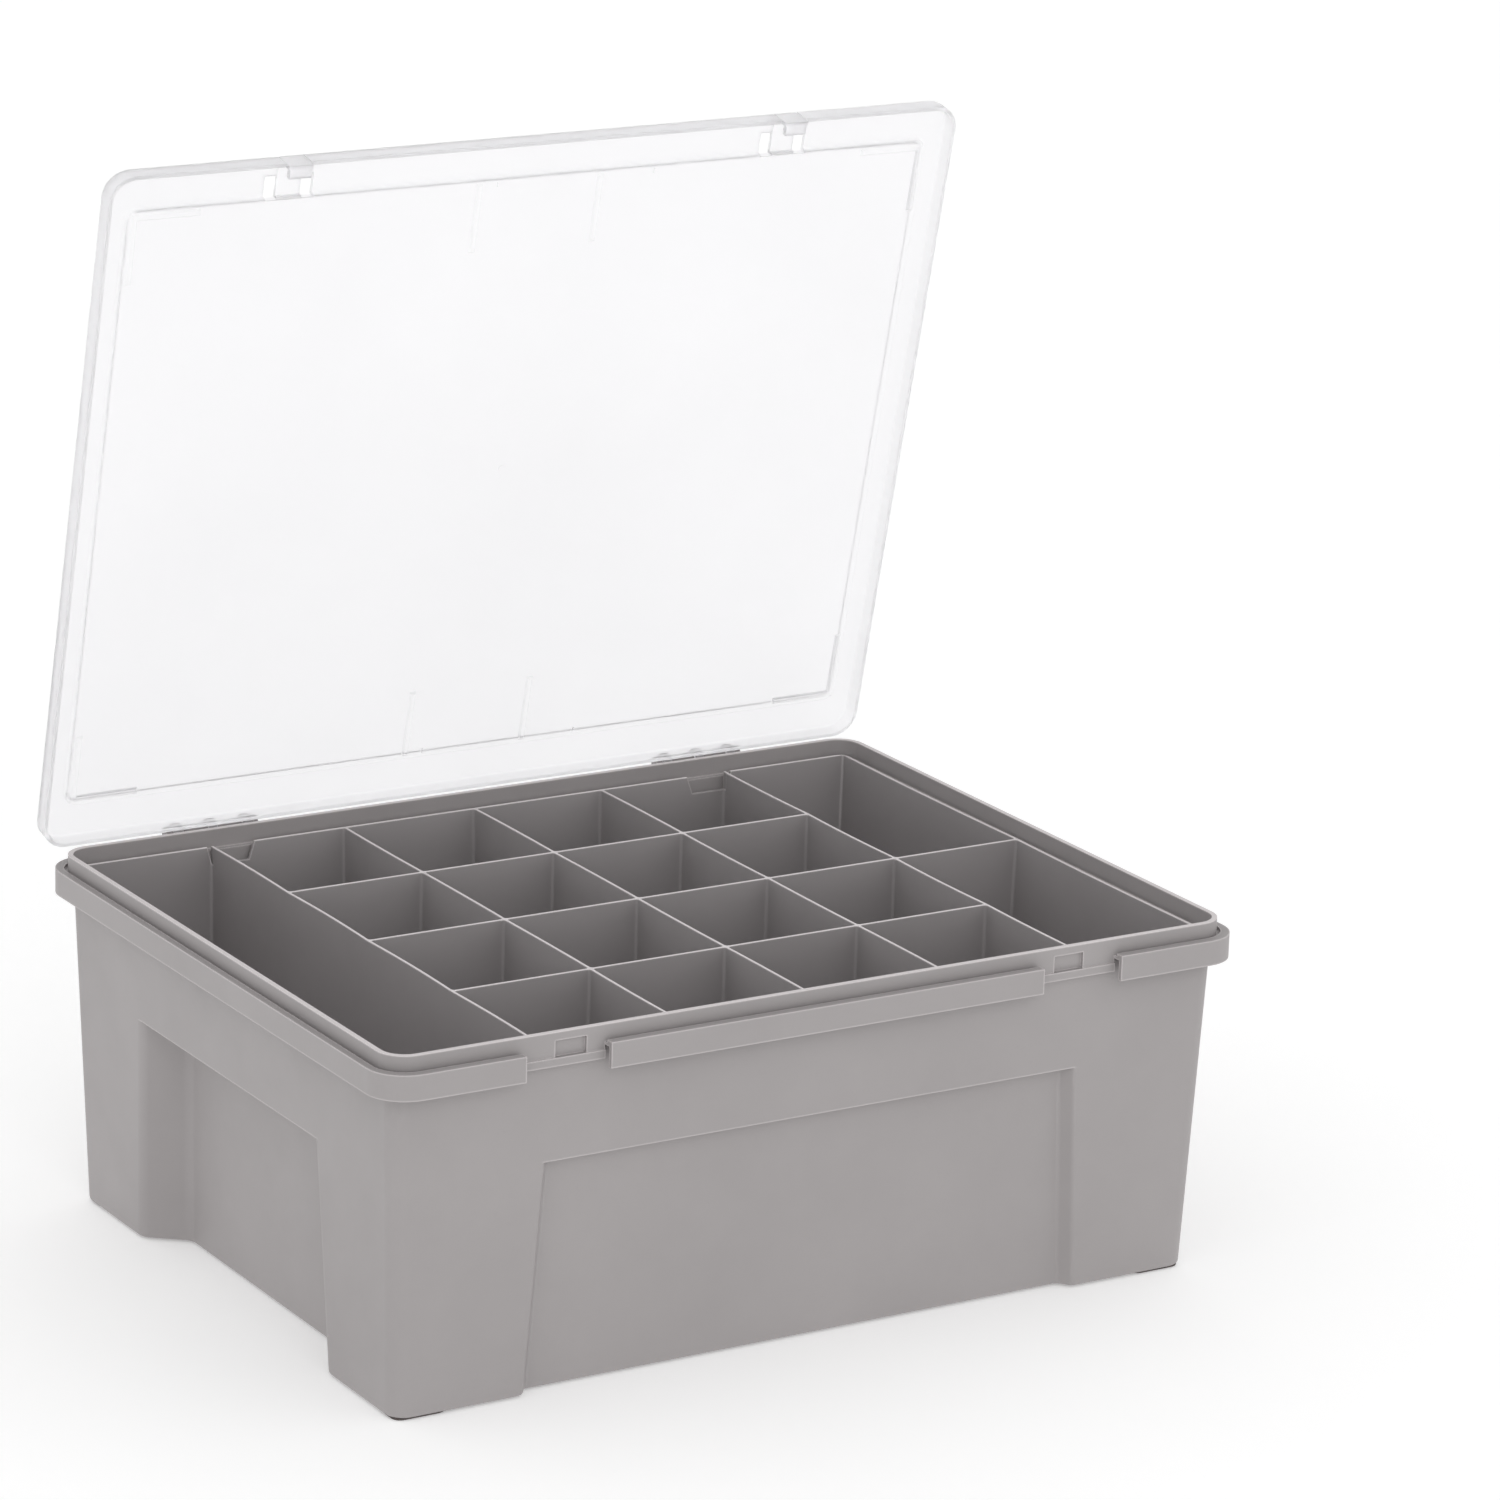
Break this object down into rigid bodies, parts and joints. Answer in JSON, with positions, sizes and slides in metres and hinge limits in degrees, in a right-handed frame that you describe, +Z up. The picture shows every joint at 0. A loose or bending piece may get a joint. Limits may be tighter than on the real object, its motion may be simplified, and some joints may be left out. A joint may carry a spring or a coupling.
{
  "type": "parts organizer",
  "caption": "Rectangular moulded storage tub with recessed walls, a hinged translucent snap lid and a lift-out tray divided into compartments.",
  "frame": {"origin": "on the floor under the middle of the tub, level with the undersides of the feet; the hinge behind the tub puts the whole box's middle 3 mm further back", "axes": "+Z up, +X along the long front to the right, +Y from the front with the lid catches to the hinged back"},
  "size_m": [0.397, 0.3102, 0.4486],
  "materials": {
    "tub_plastic": "satin moulded polypropylene, warm grey",
    "tray_plastic": "satin moulded polypropylene, warm grey",
    "lid_plastic": "frosted translucent polypropylene",
    "foot_pad": "matt dark rubber"
  },
  "bodies": {
    "tub": {"tub": "tub_plastic", "foot_front_left": "foot_pad", "foot_front_right": "foot_pad", "foot_back_left": "foot_pad", "foot_back_right": "foot_pad"},
    "lid": {"lid": "lid_plastic"},
    "lid_clip_left": {"lid_clip_left": "lid_plastic"},
    "lid_clip_right": {"lid_clip_right": "lid_plastic"},
    "tray": {"tray_shell": "tray_plastic", "tray_divider_far_left": "tray_plastic", "tray_divider_left": "tray_plastic", "tray_divider_middle": "tray_plastic", "tray_divider_right": "tray_plastic", "tray_divider_far_right": "tray_plastic", "tray_cross_divider_front": "tray_plastic", "tray_cross_divider_middle": "tray_plastic", "tray_cross_divider_back": "tray_plastic", "tray_end_divider": "tray_plastic"}
  },
  "joints": [
    {"name": "lid_hinge", "type": "hinge", "parent": "tub", "child": "lid", "pos_m": [0, 0.1542, 0.1495], "axis": [-1, 0, 0], "range_deg": [-77.3, 26.7]},
    {"name": "lid_clip_left_flex", "type": "hinge", "parent": "lid", "child": "lid_clip_left", "pos_m": [-0.116, 0.09498, 0.43138], "axis": [-1, 0, 0], "range_deg": [0, 12], "stiffness_Nm_per_rad": 1.2},
    {"name": "lid_clip_right_flex", "type": "hinge", "parent": "lid", "child": "lid_clip_right", "pos_m": [0.116, 0.09498, 0.43138], "axis": [-1, 0, 0], "range_deg": [0, 12], "stiffness_Nm_per_rad": 1.2},
    {"name": "tray_lift", "type": "slide", "parent": "tub", "child": "tray", "axis": [0, 0, 1], "range_m": [0, 0.065]}
  ]
}
